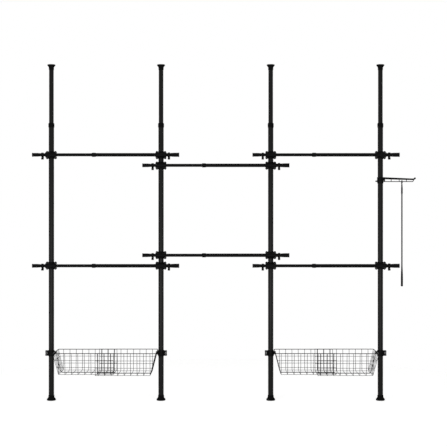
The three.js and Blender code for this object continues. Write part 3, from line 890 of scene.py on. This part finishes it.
class RACK_OT_rods(bpy.types.Operator):
    """Makes the six telescopic rods with their end caps, collars and hook rings"""

    bl_idname = "rack.rods"
    bl_label = "Rods"

    def execute(self, context):
        sizes = context.scene.rack_tubes
        # The tubes start behind the end caps' plugs, and the thick one ends inside its collar.
        plug, inside_collar = 0.015, 0.003
        parts = []
        for radius, end, backwards in (
            (sizes.inner_rod, INNER_ROD_LENGTH, False),
            (sizes.outer_rod, OUTER_ROD_LENGTH - inside_collar, True),
        ):
            tube = pipe(radius, radius - sizes.rod_wall, plug, end, 0.0004)
            cap = rod_end_cap(radius, sizes.cap_length)
            inset = -sizes.hook_inset if backwards else sizes.hook_inset
            hook = moved(hook_ring(radius, sizes.hook_width), inset)
            parts.append((along_x(tube, backwards), along_x(cap, backwards), hook))
        (thin, thin_cap, thin_hook), (thick, thick_cap, thick_hook) = parts
        collar = along_x(rod_collar(sizes), True)
        for name, _, _ in RODS:
            height = middle_of(f"{name}_clamp_left", Z)
            start = (low(f"{name}_rod_inner").x, -ROD_FORWARD, height)
            end = (high(f"{name}_rod_outer").x, -ROD_FORWARD, height)
            for part, mesh, half, kind, place in (
                ("thin_tube", thin, "inner", "rod", start),
                ("thick_tube", thick, "outer", "rod", end),
                ("collar", collar, "outer", "plastic", end),
                ("left_end_cap", thin_cap, "inner", "plastic", start),
                ("right_end_cap", thick_cap, "outer", "plastic", end),
                ("left_hook", thin_hook, "inner", "plastic", start),
                ("right_hook", thick_hook, "outer", "plastic", end),
            ):
                nodes = [f"{name}_rod_{half}"] if kind == "rod" else ()
                piece(f"{name}_{part}", mesh, f"{name}_{half}", kind, nodes, place)
        return {"FINISHED"}


# Clamps


def screw_head(radius, depth, recess):
    """A pan head with a cross recess, with its seat at the origin and its head along Z."""
    shank = radius * 0.45
    crown = radius * 0.62
    head = turned(
        (0, -depth), (shank, -depth), (shank, 0), (radius, 0, radius * 0.15),
        (radius * 0.9, radius * 0.5, radius * 0.3), (0, crown),
        steps=SMALL_ROUND,
    )
    arm = radius * 0.55
    width = radius * 0.13
    side = [(arm, -width), (arm, width), (width, width)]
    cross = []
    for _ in range(4):
        cross += side
        side = [(-y, x) for x, y in side]
    cutter = moved(slab(cross, recess * 2, "xy"), 0, 0, crown)
    return combined(head, [cutter], "DIFFERENCE")


def flared_bore(radius, half_length):
    """The cutter for a bore about Z whose mouths flare a little."""
    flare, beyond = 0.0006, 0.004
    mouth = radius + beyond + flare
    return turned(
        (0, -half_length - beyond), (mouth, -half_length - beyond), (radius, -half_length + flare),
        (radius, half_length - flare), (mouth, half_length + beyond), (0, half_length + beyond),
    )


def clamp_shells(rod_radius, sizes):
    """The front and the back shell of a clamp, about a pole at the origin."""
    half_width, half_height = CLAMP_HALF_WIDTH, CLAMP_HALF_HEIGHT
    chamfer = sizes.ear_chamfer
    ear = (sizes.ear_thickness - sizes.parting) / 2
    waist, lobe, notch = 0.007, 0.027, 0.003
    quarter = [
        (half_width - 0.0045, waist, 0.003), (half_width, waist + 0.0045, 0.003),
        (half_width, half_height - chamfer, 0.004), (half_width - chamfer, half_height, 0.004),
        (lobe, half_height, 0.002), (lobe - notch, half_height - notch, 0.002),
    ]
    top = quarter + [(-x, z, r) for x, z, r in reversed(quarter)]
    ears = top + [(-x, -z, r) for x, z, r in top]
    middle = (sizes.parting + ear) / 2
    front, back = [moved(slab(ears, ear, "xz", 0.0009), 0, y) for y in (-middle, middle)]
    sleeve_end = half_height - notch
    sleeve = drum(POLE_BORE + 0.0055, -sleeve_end, sleeve_end, 0.0014)

    # The saddle holds the rod in front of the pole.
    radius, root = 0.0173, -0.012
    saddle = arc(radius, 1.5 * math.pi, -math.pi, steps=18, centre=(-ROD_FORWARD, 0))
    saddle = [(root, -radius), *saddle, (root, radius)]
    saddle = slab(saddle, half_width * 2 - 0.0006, "yz", 0.0012)

    # Each shell ends half a parting gap from the pole's middle plane.
    far = 0.06
    away = far / 2 - sizes.parting / 2
    cuts = [moved(slab(rectangle(-far, -far, far, far), far, "xz"), 0, y) for y in (away, -away)]
    pole_bore = flared_bore(POLE_BORE, sleeve_end)
    rod_bore = moved(along_x(flared_bore(rod_radius + SEAT_GAP, half_width)), 0, -ROD_FORWARD)
    front = combined(front, [sleeve.copy(), saddle], "UNION")
    back = combined(back, [sleeve], "UNION")
    front = combined(front, [cuts[0], pole_bore.copy(), rod_bore], "DIFFERENCE")
    back = combined(back, [cuts[1], pole_bore], "DIFFERENCE")
    return front, back


class RACK_OT_clamps(bpy.types.Operator):
    """Makes the twelve two-shell clamps and their screws"""

    bl_idname = "rack.clamps"
    bl_label = "Rod clamps"

    def execute(self, context):
        sizes = context.scene.rack_clamps
        tubes = context.scene.rack_tubes
        screw = screw_head(sizes.screw_radius, sizes.ear_thickness * 0.4, sizes.screw_radius * 0.45)
        # The screws sit near the ears' corners.
        screw_x = CLAMP_HALF_WIDTH - 0.0085
        screw_z = CLAMP_HALF_HEIGHT - 0.0105
        seat = -sizes.ear_thickness / 2
        corners = [(x, seat, z) for x in (-screw_x, screw_x) for z in (-screw_z, screw_z)]
        shells = {
            "left": clamp_shells(tubes.inner_rod, sizes),
            "right": clamp_shells(tubes.outer_rod, sizes),
        }
        for order, (name, *poles) in enumerate(RODS):
            for (side, half), pole in zip(SIDES, poles):
                clamp = f"{name}_clamp_{side}"
                place = (pole_x(pole), 0, middle_of(clamp, Z))
                body = f"{name}_{half}"
                label = f"{name}_{side}_clamp"
                front, back = shells[side]
                piece(f"{label}_front", front, body, "plastic", [clamp], place)
                piece(f"{label}_back", back, body, "plastic", (), place)
                screws = fasteners(corners, screw, sizes.screw_seed + 2 * order + pole)
                piece(f"{label}_screws", screws, body, "screw", (), place)
        return {"FINISHED"}


# Baskets


def basket_wires(sizes, nest):
    """The wires of half a basket, from its closed end along +X, nested by so much inside."""
    depth = BASKET_HALF_DEPTH - nest
    # The half that slides inside has its floor above the other's runner wire.
    bottom = (2 * sizes.runner_radius + 0.001 if nest else 0) - sizes.height
    free = sizes.half_length - sizes.rim_radius

    def depth_at(z):
        return depth + sizes.side_lean * z / sizes.height

    def end_at(z):
        return -sizes.end_lean * z / sizes.height

    start, foot = end_at(bottom), depth_at(bottom)
    rim = [[(free, -depth, 0), (0, -depth, 0), (0, depth, 0), (free, depth, 0)]]
    long_wires = []
    for z in (bottom / 3, bottom * 2 / 3, bottom):
        x, y = end_at(z), depth_at(z)
        long_wires.append([(free, -y, z), (x, -y, z), (x, y, z), (free, y, z)])
    hoop = [(0, -depth, 0), (0, -foot, bottom), (0, foot, bottom), (0, depth, 0)]
    count = int((free - start) / sizes.rib_pitch) + 1
    ribs = [[(x + start, y, z) for x, y, z in hoop]]
    last_rib = [[(x + free - sizes.rib_radius, y, z) for x, y, z in hoop]]
    end_ribs = []
    for share in (-1, -2 / 3, -1 / 3, 1 / 3, 2 / 3, 1):
        end_ribs.append([(0, share * depth, 0), (start, share * foot, bottom)])
    runner = [[(0, 0, 0), (start, 0, bottom), (free, 0, bottom)]]
    # The thick wires take wider bends.
    bend = sizes.bend_radius
    return {
        "rim": wires(rim, sizes.rim_radius, bend * 1.6, sides=THICK_WIRE_SIDES),
        "long_wires": wires(long_wires, sizes.wire_radius, bend),
        "ribs": wires(ribs, sizes.rib_radius, bend, count, (sizes.rib_pitch, 0, 0)),
        "free_end_rib": wires(last_rib, sizes.rib_radius, bend),
        "end_ribs": wires(end_ribs, sizes.rib_radius),
        "runner": wires(runner, sizes.runner_radius, bend * 1.4, sides=THICK_WIRE_SIDES),
    }


class RACK_OT_baskets(bpy.types.Operator):
    """Bends the wires of the two telescopic baskets"""

    bl_idname = "rack.baskets"
    bl_label = "Wire baskets"

    def execute(self, context):
        sizes = context.scene.rack_baskets
        inner = basket_wires(sizes, BASKET_NEST)
        outer = basket_wires(sizes, 0)
        for name, _, _ in BASKETS:
            start = low(f"{name}_basket_inner").x + sizes.rim_radius
            end = high(f"{name}_basket_outer").x - sizes.rim_radius
            for half, parts, x, mirror in (
                ("inner", inner, start, False), ("outer", outer, end, True)
            ):
                label = f"{name}_basket_{half}"
                place = (x, 0, BASKET_RIM_HEIGHT)
                for part, mesh in parts.items():
                    nodes = [label] if part == "rim" else ()
                    piece(f"{label}_{part}", mesh, f"{label}_half", "wire", nodes, place, mirror)
        return {"FINISHED"}


BRACKET_RADIUS = POLE_BORE + 0.0032
LUG_DEPTH = 0.018


def basket_bracket(flange, tab_end, middle, top):
    """A bracket for a basket's left end, about a pole at the origin."""
    floor = BASKET_RIM_HEIGHT - 0.0028
    ring = moved(drum(BRACKET_RADIUS, -0.021, 0.021, 0.0012), 0, 0, middle)
    lug_start, lug_bottom, lug_top = -0.012, middle + 0.0014, middle + 0.019
    lug = [
        (-flange, lug_bottom, 0.0015), (-flange, lug_top, 0.0015), (lug_start, lug_top, 0.001),
        (lug_start, lug_bottom, 0.001),
    ]
    lower_lug = [(x, 2 * middle - z, r) for x, z, r in lug]
    web_end, web_half = -flange + 0.004, 0.004
    web = [
        (web_end, middle - web_half), (web_end, middle + web_half), (lug_start, middle + web_half),
        (lug_start, middle - web_half),
    ]

    # The tab's notch takes the rim wire, and its fork leaves the runner wire free.
    half_notch = 0.0032
    notch = tab_end - 0.0024 - half_notch
    root = POLE_BORE - 0.002
    tab = [
        (root, floor - 0.027, 0.001), (tab_end, floor - 0.008, 0.002),
        (tab_end, floor + 0.003, 0.0008), (notch + half_notch, floor + 0.003, 0.0008),
        (notch + half_notch, floor, 0.0015), (notch - half_notch, floor, 0.0015),
        (notch - half_notch, floor + 0.003, 0.0008), (root, top - 0.003, 0.001),
    ]
    solids = [
        slab(lug, LUG_DEPTH, "xz", 0.001),
        slab(lower_lug, LUG_DEPTH, "xz", 0.001),
        slab(web, 0.012, "xz"),
        slab(tab, 0.024, "xz", 0.0012),
    ]
    body = combined(ring, solids, "UNION")
    bore = moved(drum(POLE_BORE, -0.05, 0.05), 0, 0, middle)
    split = moved(slab(rectangle(-0.06, -0.06, 0, 0.06), 0.002, "xz"), 0, 0, middle)
    fork = rectangle(notch - half_notch, floor - 0.05, 0.05, floor + 0.02)
    eye = rectangle(0.006 - flange, middle - 0.002, 0.014 - flange, middle + 0.002, 0.0015)
    cuts = [bore, split, slab(fork, 0.006, "xz"), slab(eye, 0.04, "xz")]
    return combined(body, cuts, "DIFFERENCE")


class RACK_OT_brackets(bpy.types.Operator):
    """Makes the brackets that hold the baskets' ends on the poles"""

    bl_idname = "rack.brackets"
    bl_label = "Basket brackets"

    def execute(self, context):
        flange = pole_x(1) - low("left_bracket_left").x
        tab_end = high("left_bracket_left").x - pole_x(1)
        middle = middle_of("left_bracket_left", Z)
        bracket = basket_bracket(flange, tab_end, middle, high("left_bracket_left").z)
        bolt = screw_head(0.0052, 0.008, 0.0022)
        bolt_x = -(flange + BRACKET_RADIUS) / 2 - 0.0015
        points = [(bolt_x, -LUG_DEPTH / 2, middle + offset) for offset in (-0.0102, 0.0102)]
        bolts = fasteners(points, bolt, 3)
        for name, *poles in BASKETS:
            for (side, half), pole in zip(SIDES, poles):
                place = (pole_x(pole), 0, 0)
                label = f"{name}_basket_{side}_bracket"
                body = f"{name}_basket_{half}_half"
                nodes = [f"{name}_bracket_{side}"]
                mirror = side == "right"
                piece(label, bracket, body, "plastic", nodes, place, mirror)
                piece(f"{label}_bolts", bolts, body, "screw", (), place, mirror)
        return {"FINISHED"}


# Side rack. Its pieces are made about the fourth pole and then moved there.

# The bar starts so far under the sleeve's top, and sinks by the slope from root to tip.
BAR_DROP = 0.0076
BAR_SLOPE = 0.008
BAR_ROOT_X = 0.023
BAR_TIP_X = 0.238


class RACK_OT_side_rack(bpy.types.Operator):
    """Makes the side rack: clamp ring, swivelling bar and wire frame"""

    bl_idname = "rack.side_rack"
    bl_label = "Side rack"

    def execute(self, context):
        sizes = context.scene.rack_side
        place = (pole_x(4), 0, 0)
        ring, screw = self.clamp()
        piece("side_clamp_ring", ring, "side_clamp", "plastic", ["side_rack_clamp"], place)
        piece("side_clamp_screw", screw, "side_clamp", "plastic", (), place)
        arm = self.arm(sizes)
        piece("side_rack_arm", arm, "side_rack", "plastic", ["side_rack_bar"], place)
        outline, uprights = self.wire_paths(sizes)
        frame_wire = sizes.frame_wire
        outline = wires(outline, frame_wire, 0.004, sides=THICK_WIRE_SIDES)
        uprights = wires(uprights, frame_wire - 0.0003, sides=THICK_WIRE_SIDES)
        piece("side_rack_wire", outline, "side_rack", "wire", ["side_rack_frame"], place)
        piece("side_rack_uprights", uprights, "side_rack", "wire", (), place)
        return {"FINISHED"}

    @staticmethod
    def clamp():
        """The clamp ring with its boss, and its knurled screw."""
        bottom, top = ends_of("side_rack_clamp")
        middle, tall = (bottom + top) / 2, top - bottom
        outer = POLE_BORE + 0.0046
        boss_height = 0.0165
        ring = turned(
            (0, -tall / 2), (POLE_BORE + 0.002, -tall / 2, 0.001),
            (outer, -tall / 2 + boss_height, 0.002), (outer, tall / 2, 0.0008), (0, tall / 2),
        )
        moved(ring, 0, 0, middle)
        boss = turned(
            (0, 0.015), (0.006, 0.015), (0.006, 0.028, 0.001), (0, 0.028), steps=SMALL_ROUND
        )
        boss = moved(along_x(boss, True), 0, 0, bottom + boss_height)
        bore = moved(drum(POLE_BORE, -0.05, 0.05), 0, 0, middle)
        ring = combined(combined(ring, [boss], "UNION"), [bore], "DIFFERENCE")
        ridges = 20
        crests = arc(0.004, 0, 2 * math.pi, ridges)[:-1]
        troughs = arc(0.0037, math.pi / ridges, 2 * math.pi, ridges)[:-1]
        knurl = [point for pair in zip(crests, troughs) for point in pair]
        screw = along_x(moved(slab(knurl, 0.0075, "xy", 0.0003), 0, 0, 0.0322), True)
        return ring, moved(screw, 0, 0, bottom + boss_height)

    @staticmethod
    def arm(sizes):
        """The bar with the sleeve that swivels on the pole and the ball on its tip."""
        bottom, top = high("side_rack_clamp").z + SEAT_GAP, high("side_rack_bar").z
        outer = POLE_BORE + 0.0045
        sleeve = turned(
            (0, bottom), (outer, bottom, 0.001), (outer, top - 0.0015, 0.001),
            (POLE_BORE + 0.0025, top, 0.001), (0, top),
        )
        # The cheek reaches down to the lowest wire.
        foot = low("side_rack_frame").z
        cheek = [
            (0.015, bottom + 0.001), (0.025, bottom + 0.001, 0.0005), (0.025, foot, 0.0015),
            (0.033, foot, 0.0015), (0.033, top - 0.003, 0.004), (0.026, top, 0.003), (0.015, top),
        ]
        start = Vector((0.021, 0, top - BAR_DROP))
        tip = Vector((BAR_TIP_X, 0, top - BAR_DROP - BAR_SLOPE))
        radius = sizes.ball_radius
        end = Vector((high("side_rack_bar").x - pole_x(4) - radius, 0, tip.z + radius))
        parts = [
            slab(cheek, 0.012, "xz", 0.0012),
            taper(start, tip, sizes.bar_radius, sizes.bar_tip),
            ball(sizes.bar_tip, tip),
            taper(tip, end, sizes.bar_tip, 0.0052),
            ball(radius, end),
        ]
        arm = combined(sleeve, parts, "UNION")
        middle = middle_of("side_rack_clamp", Z)
        bore = moved(drum(POLE_BORE, -0.08, 0.08), 0, 0, middle)
        return combined(arm, [bore], "DIFFERENCE")

    @staticmethod
    def wire_paths(sizes):
        """The path of the wire under the bar and those of its three uprights."""
        foot = low("side_rack_frame").z + sizes.frame_wire
        bar_z = high("side_rack_bar").z - BAR_DROP
        start, end = 0.0334, 0.232
        sunk = 0.001

        def underside(at):
            share = (at - BAR_ROOT_X) / (BAR_TIP_X - BAR_ROOT_X)
            radius = sizes.bar_radius - share * (sizes.bar_radius - sizes.bar_tip)
            return bar_z - share * BAR_SLOPE - radius + sunk

        outline = [[(start, 0, foot), (end, 0, foot), (end + 0.006, 0, underside(end))]]
        uprights = []
        for share in (0.22, 0.51, 0.77):
            at = start + share * (end - start)
            uprights.append([(at, 0, foot), (at, 0, underside(at))])
        return outline, uprights


class RACK_OT_hook_pole(bpy.types.Operator):
    """Makes the hook pole that hangs on the side rack's wire"""

    bl_idname = "rack.hook_pole"
    bl_label = "Hook pole"

    def execute(self, context):
        sizes = context.scene.rack_side
        bottom = low("hook_pole").z
        # The shaft hangs so far under the wire that the hook holds.
        shaft_top = low("side_rack_frame").z + sizes.frame_wire - 0.018
        place = (middle_of("hook_pole", X), 0, 0)
        bend = sizes.hook_bend
        centre = high("hook_pole").z - sizes.hook_wire - bend
        loop = arc(bend, -math.pi / 4, math.pi * 1.25, steps=14, centre=(0, centre))
        points = [(0, 0, shaft_top - 0.006), (0, 0, shaft_top + 0.001)]
        points += [(0, y, z) for y, z in loop]
        points.append((0, -bend, centre - 0.0068))
        hook = wires([points], sizes.hook_wire, 0.002, sides=THICK_WIRE_SIDES, kind="rod")
        nodes = ["hook_pole"]
        piece("hook_pole_hook", hook, "hook_pole", "rod", nodes, place, slot="pole")

        outer = sizes.ferrule_radius
        groove = outer - 0.0004
        ferrule = turned(
            (0, shaft_top - 0.068), (0.0049, shaft_top - 0.068), (outer, shaft_top - 0.067, 0.0004),
            (outer, shaft_top - 0.052, 0.0002), (groove, shaft_top - 0.0515),
            (groove, shaft_top - 0.0505), (outer, shaft_top - 0.05, 0.0002),
            (outer, shaft_top - 0.034, 0.02), (0.0042, shaft_top - 0.001, 0.001),
            (0.0036, shaft_top), (0, shaft_top),
            steps=SMALL_ROUND,
        )
        piece("hook_pole_ferrule", ferrule, "hook_pole", "plastic", (), place)

        shaft = drum(sizes.shaft_radius, bottom + 0.01, shaft_top - 0.06, steps=SMALL_ROUND)
        piece("hook_pole_shaft", shaft, "hook_pole", "pole", (), place)

        outer = sizes.grip_radius
        groove = outer - 0.0006
        profile = [(0, bottom), (0.0056, bottom), (outer, bottom + 0.002, 0.0014)]
        for k in range(5):
            z = bottom + 0.014 + k * 0.009
            profile += [
                (outer, z, 0.0005), (groove, z + 0.0009, 0.0004), (groove, z + 0.0022, 0.0004),
                (outer, z + 0.0031, 0.0005),
            ]
        neck = bottom + 0.06
        profile += [
            (outer, neck, 0.03), (0.0062, neck + 0.05, 0.05), (0.00485, neck + 0.084),
            (0, neck + 0.084),
        ]
        grip = turned(*profile, steps=SMALL_ROUND)
        piece("hook_pole_grip", grip, "hook_pole", "plastic", (), place)
        return {"FINISHED"}


# Studio

WHITE = (1, 1, 1, 1)

# Each lamp: its name, place, width and share of the strongest lamp's power
LAMPS = (
    ("Left lamp", (-2.2, -5.4, 0.1), 2.0, 1.0),
    ("Right lamp", (1.5, -5.4, 0.1), 2.0, 0.7),
    ("Top lamp", (0, -2.5, 5.5), 3.0, 0.3),
)


def seen_directly(tree):
    """One for rays from the camera and for those that a gloss or a glass sends on."""
    path = node(tree, "ShaderNodeLightPath")
    seen = path["Is Camera Ray"]
    for ray in ("Is Glossy Ray", "Is Transmission Ray"):
        seen = node(tree, "ShaderNodeMath", seen, path[ray], operation="MAXIMUM")[0]
    return seen


class RACK_OT_studio(bpy.types.Operator):
    """Sets up the pale floor, the backdrop, the soft lamps and the camera"""

    bl_idname = "rack.studio"
    bl_label = "Studio"

    def execute(self, context):
        studio = context.scene.rack_studio
        self.floor(studio)
        self.lamps(studio)
        self.backdrop(studio)
        self.camera(studio)
        context.scene.view_settings.view_transform = "Standard"
        return {"FINISHED"}

    @staticmethod
    def floor(studio):
        """A pale floor that looks white where no shadow lies."""
        shape = bmesh.new()
        bmesh.ops.create_circle(shape, cap_ends=True, segments=96, radius=studio.floor_radius)
        mesh = bpy.data.meshes.new("studio_floor")
        shape.to_mesh(mesh)
        shape.free()
        moved(mesh, z=-0.0005)
        floor = bpy.data.objects.new("studio_floor", mesh)
        bpy.context.scene.collection.objects.link(floor)
        coat = Coat("Pale floor")
        coat.tint(coat.noise(3.0), studio.floor_colour, 0.01)
        seen = seen_directly(coat.tree)
        glow = node(coat.tree, "ShaderNodeMath", seen, studio.floor_glow, operation="MULTIPLY")[0]
        coat.feed(Emission_Color=WHITE, Emission_Strength=glow)
        coat.feed(Roughness=0.8, Specular_IOR_Level=0.1)
        mesh.materials.append(coat.material)

    @staticmethod
    def lamps(studio):
        """Large soft lamps: two stand low in front, which lightens the poles' lower parts."""
        for name, place, width, share in LAMPS:
            data = bpy.data.lights.new(name, "AREA")
            data.energy = studio.key_power * share
            data.size = width
            lamp = bpy.data.objects.new(name, data)
            lamp.location = place
            aim = Vector((0, 0, 1.2)) - Vector(place)
            lamp.rotation_euler = aim.to_track_quat("-Z", "Y").to_euler()
            bpy.context.scene.collection.objects.link(lamp)

    @staticmethod
    def backdrop(studio):
        """A world that is seen as white and lights the rack from all round."""
        world = bpy.context.scene.world or bpy.data.worlds.new("Studio")
        bpy.context.scene.world = world
        world.use_nodes = True
        tree = world.node_tree
        tree.nodes.clear()
        light, shown = [
            node(tree, "ShaderNodeBackground", Color=WHITE, Strength=strength)["Background"]
            for strength in (studio.world_light, 1.0)
        ]
        mix = node(tree, "ShaderNodeMixShader", seen_directly(tree), light, shown)
        node(tree, "ShaderNodeOutputWorld", Surface=mix["Shader"])

    @staticmethod
    def camera(studio):
        """The camera in front of the rack, level and square to it."""
        data = bpy.data.cameras.new("Front camera")
        camera = bpy.data.objects.new("Front camera", data)
        bpy.context.scene.collection.objects.link(camera)
        camera.location = (studio.camera_shift, -studio.camera_distance, studio.camera_height)
        camera.rotation_euler = (math.radians(90), 0, 0)
        data.sensor_width = 36
        data.sensor_fit = "HORIZONTAL"
        data.lens = data.sensor_width * studio.camera_distance / studio.view_width
        data.clip_end = 60
        bpy.context.scene.camera = camera


class RACK_PT_panel(bpy.types.Panel):
    """Lists the rack's sizes, colours and makers"""

    bl_idname = "RACK_PT_panel"
    bl_label = "Clothes rack"
    bl_space_type = "VIEW_3D"
    bl_region_type = "UI"
    bl_category = "Rack"

    def draw(self, context):
        for group in GROUPS:
            box = self.layout.box()
            settings = getattr(context.scene, group)
            for name in settings.bl_rna.properties.keys():
                if name not in ("rna_type", "name"):
                    box.prop(settings, name)
        for maker in MAKERS:
            self.layout.operator(maker.bl_idname)


GROUPS = {
    "rack_tubes": RackTubeSizes,
    "rack_clamps": RackClampSizes,
    "rack_baskets": RackBasketSizes,
    "rack_side": RackSideSizes,
    "rack_colours": RackColours,
    "rack_studio": RackStudio,
}
MAKERS = (
    RACK_OT_tubes,
    RACK_OT_feet,
    RACK_OT_locks,
    RACK_OT_rods,
    RACK_OT_clamps,
    RACK_OT_baskets,
    RACK_OT_brackets,
    RACK_OT_side_rack,
    RACK_OT_hook_pole,
    RACK_OT_studio,
)


def register():
    """Makes the classes and the scene's settings known."""
    for kind in (*GROUPS.values(), *MAKERS, RACK_PT_panel):
        bpy.utils.register_class(kind)
    for name, kind in GROUPS.items():
        setattr(bpy.types.Scene, name, bpy.props.PointerProperty(type=kind))


def unregister():
    """Takes the classes and the settings away again."""
    for name in GROUPS:
        delattr(bpy.types.Scene, name)
    for kind in (RACK_PT_panel, *reversed(MAKERS), *reversed(list(GROUPS.values()))):
        bpy.utils.unregister_class(kind)


def main():
    """Makes every piece in order."""
    register()
    bpy.ops.rack.tubes()
    bpy.ops.rack.feet()
    bpy.ops.rack.locks()
    bpy.ops.rack.rods()
    bpy.ops.rack.clamps()
    bpy.ops.rack.baskets()
    bpy.ops.rack.brackets()
    bpy.ops.rack.side_rack()
    bpy.ops.rack.hook_pole()
    bpy.ops.rack.studio()


if __name__ == "__main__":
    main()
